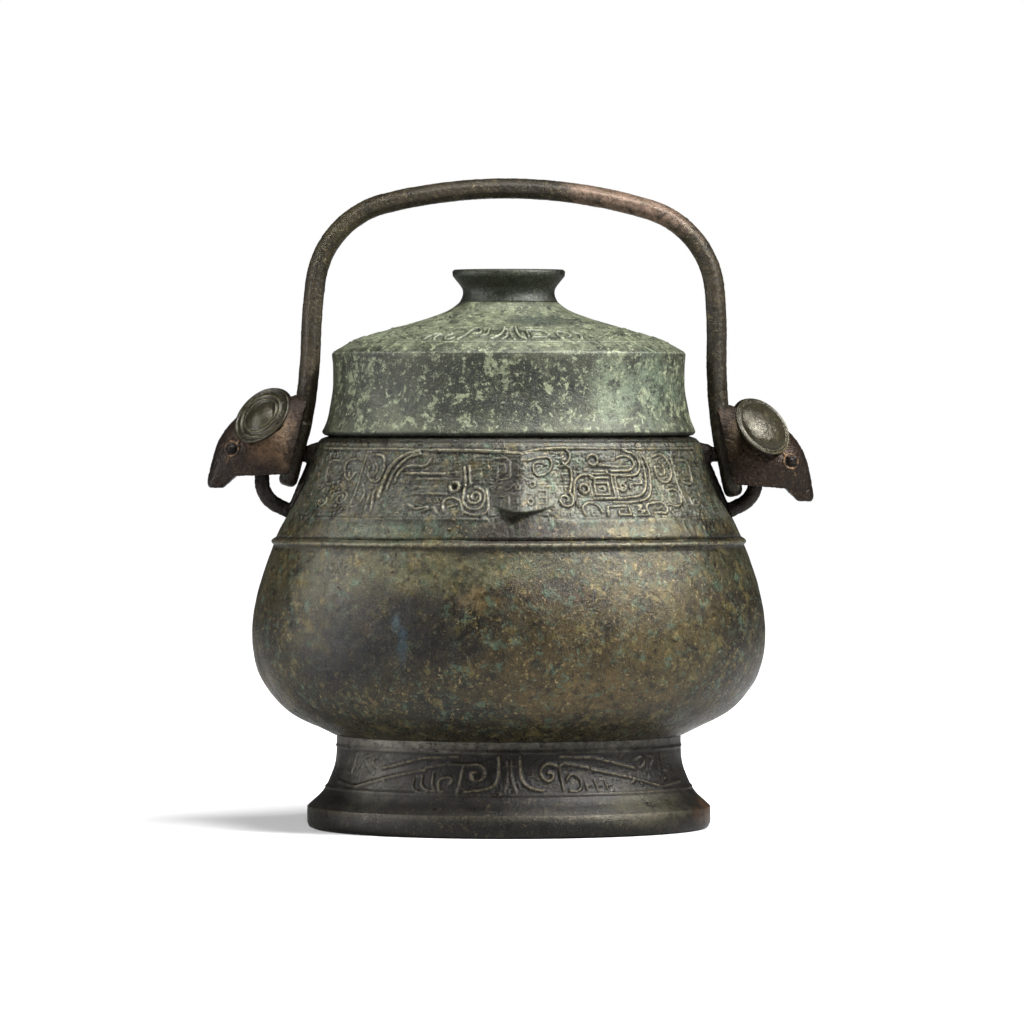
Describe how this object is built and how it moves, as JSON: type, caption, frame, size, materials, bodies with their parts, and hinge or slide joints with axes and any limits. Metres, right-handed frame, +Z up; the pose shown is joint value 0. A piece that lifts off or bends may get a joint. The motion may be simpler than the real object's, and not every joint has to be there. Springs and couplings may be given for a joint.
{
  "type": "bronze you wine vessel",
  "caption": "Oval bronze wine vessel on a flared ring foot, with a domed knobbed lid that lifts off and a swinging arched handle ending in horned beast heads.",
  "frame": {"origin": "centre of the foot's bottom rim, on the table", "axes": "+X towards the loop and head on the viewer's right, +Y away from the viewer, +Z up"},
  "size_m": [0.2609, 0.1734, 0.2795],
  "materials": {
    "vessel_patina": "cast tin bronze under an olive-brown patina with blue-black and green patches",
    "foot_patina": "cast tin bronze under a dark grey-brown patina, rubbed at the edges",
    "lid_patina": "cast tin bronze under a pale grey-green malachite patina",
    "bail_patina": "cast tin bronze under a dark brown patina with a tan crust",
    "head_patina": "cast tin bronze under a reddish-brown cuprite patina",
    "horn_patina": "cast tin bronze under an olive-tan patina, rubbed on the rims"
  },
  "bodies": {
    "vessel": {"vessel_bowl": "vessel_patina", "foot_ring": "foot_patina", "left_loop": "vessel_patina", "right_loop": "vessel_patina", "front_mask": "vessel_patina", "back_mask": "vessel_patina"},
    "lid": {"lid": "lid_patina", "lid_knob": "lid_patina"},
    "bail": {"bail_handle": "bail_patina", "left_head": "head_patina", "right_head": "head_patina", "left_horns": "horn_patina", "right_horns": "horn_patina"}
  },
  "joints": [
    {"name": "bail_swing", "type": "hinge", "parent": "vessel", "child": "bail", "pos_m": [0, 0, 0.1607], "axis": [1, 0, 0], "range_deg": [-36, 36]},
    {"name": "lid_lift", "type": "slide", "parent": "vessel", "child": "lid", "axis": [0, 0, 1], "range_m": [0, 0.024]}
  ]
}
